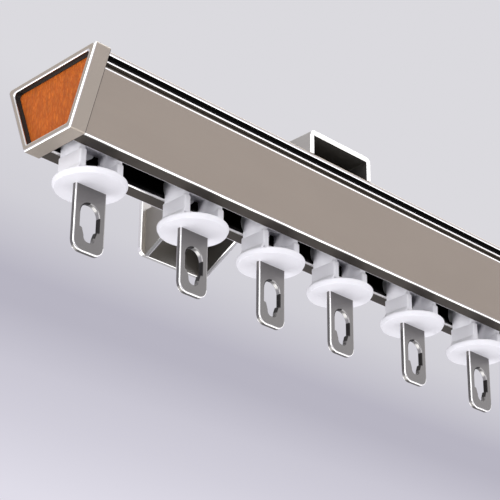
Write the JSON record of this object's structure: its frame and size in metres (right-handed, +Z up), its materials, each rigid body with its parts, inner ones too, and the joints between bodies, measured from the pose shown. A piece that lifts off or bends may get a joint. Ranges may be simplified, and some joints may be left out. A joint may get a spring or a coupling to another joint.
{
  "type": "curtain track",
  "caption": "Wall-mounted aluminium curtain track with tapered section, leather-faced end caps, folded steel brackets and wheeled gliders carrying hook plates.",
  "frame": {"origin": "on the wall, in the middle of the four wall holes", "axes": "+X along the track to the right as seen from the room, +Y into the wall, +Z up"},
  "size_m": [0.5, 0.071, 0.0822],
  "materials": {
    "profile_finish": "satin taupe anodised",
    "cap_metal": "satin taupe, cast and plated",
    "leather": "orange tan, fine grain",
    "bracket_steel": "satin plated steel",
    "zinc_steel": "zinc plated",
    "white_plastic": "moulded, half matt",
    "wheel_plastic": "moulded, smooth",
    "plate_steel": "brushed, polished edges"
  },
  "bodies": {
    "track": {"track_profile": "profile_finish", "end_cap_left": "cap_metal", "leather_inlay_left": "leather", "bracket_left": "bracket_steel", "clamp_screw_left": "zinc_steel", "slot_nut_left": "zinc_steel", "end_cap_right": "cap_metal", "leather_inlay_right": "leather", "bracket_right": "bracket_steel", "clamp_screw_right": "zinc_steel", "slot_nut_right": "zinc_steel"},
    "glider_1": {"carrier_1": "white_plastic", "hook_plate_1": "plate_steel"},
    "wheels_1": {"wheelset_1": "wheel_plastic"},
    "glider_2": {"carrier_2": "white_plastic", "hook_plate_2": "plate_steel"},
    "wheels_2": {"wheelset_2": "wheel_plastic"},
    "glider_3": {"carrier_3": "white_plastic", "hook_plate_3": "plate_steel"},
    "wheels_3": {"wheelset_3": "wheel_plastic"},
    "glider_4": {"carrier_4": "white_plastic", "hook_plate_4": "plate_steel"},
    "wheels_4": {"wheelset_4": "wheel_plastic"},
    "glider_5": {"carrier_5": "white_plastic", "hook_plate_5": "plate_steel"},
    "wheels_5": {"wheelset_5": "wheel_plastic"},
    "glider_6": {"carrier_6": "white_plastic", "hook_plate_6": "plate_steel"},
    "wheels_6": {"wheelset_6": "wheel_plastic"},
    "glider_7": {"carrier_7": "white_plastic", "hook_plate_7": "plate_steel"},
    "wheels_7": {"wheelset_7": "wheel_plastic"}
  },
  "joints": [
    {"name": "glider_1_slide", "type": "slide", "parent": "track", "child": "glider_1", "axis": [1, 0, 0], "range_m": [-0.00235, 0.0079]},
    {"name": "wheels_1_roll", "type": "hinge", "parent": "glider_1", "child": "wheels_1", "pos_m": [-0.2353, -0.0534, -0.0341], "axis": [0, 1, 0], "continuous": true},
    {"name": "glider_2_slide", "type": "slide", "parent": "track", "child": "glider_2", "axis": [1, 0, 0], "range_m": [-0.0079, 0.00485]},
    {"name": "wheels_2_roll", "type": "hinge", "parent": "glider_2", "child": "wheels_2", "pos_m": [-0.1999, -0.0534, -0.0341], "axis": [0, 1, 0], "continuous": true},
    {"name": "glider_3_slide", "type": "slide", "parent": "track", "child": "glider_3", "axis": [1, 0, 0], "range_m": [-0.00485, 0.0044]},
    {"name": "wheels_3_roll", "type": "hinge", "parent": "glider_3", "child": "wheels_3", "pos_m": [-0.1706, -0.0534, -0.0341], "axis": [0, 1, 0], "continuous": true},
    {"name": "glider_4_slide", "type": "slide", "parent": "track", "child": "glider_4", "axis": [1, 0, 0], "range_m": [-0.0044, 0.00624]},
    {"name": "wheels_4_roll", "type": "hinge", "parent": "glider_4", "child": "wheels_4", "pos_m": [-0.1422, -0.0534, -0.0341], "axis": [0, 1, 0], "continuous": true},
    {"name": "glider_5_slide", "type": "slide", "parent": "track", "child": "glider_5", "axis": [1, 0, 0], "range_m": [-0.00624, 0.00584]},
    {"name": "wheels_5_roll", "type": "hinge", "parent": "glider_5", "child": "wheels_5", "pos_m": [-0.1101, -0.0534, -0.0341], "axis": [0, 1, 0], "continuous": true},
    {"name": "glider_6_slide", "type": "slide", "parent": "track", "child": "glider_6", "axis": [1, 0, 0], "range_m": [-0.00584, 0.006]},
    {"name": "wheels_6_roll", "type": "hinge", "parent": "glider_6", "child": "wheels_6", "pos_m": [-0.0788, -0.0534, -0.0341], "axis": [0, 1, 0], "continuous": true},
    {"name": "glider_7_slide", "type": "slide", "parent": "track", "child": "glider_7", "axis": [1, 0, 0], "range_m": [-0.006, 0.28485]},
    {"name": "wheels_7_roll", "type": "hinge", "parent": "glider_7", "child": "wheels_7", "pos_m": [-0.0472, -0.0534, -0.0341], "axis": [0, 1, 0], "continuous": true}
  ],
  "couplings": [
    {"joint": "wheels_1_roll", "follows": "glider_1_slide", "rad_per_m": 217.39},
    {"joint": "wheels_2_roll", "follows": "glider_2_slide", "rad_per_m": 217.39},
    {"joint": "wheels_3_roll", "follows": "glider_3_slide", "rad_per_m": 217.39},
    {"joint": "wheels_4_roll", "follows": "glider_4_slide", "rad_per_m": 217.39},
    {"joint": "wheels_5_roll", "follows": "glider_5_slide", "rad_per_m": 217.39},
    {"joint": "wheels_6_roll", "follows": "glider_6_slide", "rad_per_m": 217.39},
    {"joint": "wheels_7_roll", "follows": "glider_7_slide", "rad_per_m": 217.39}
  ]
}
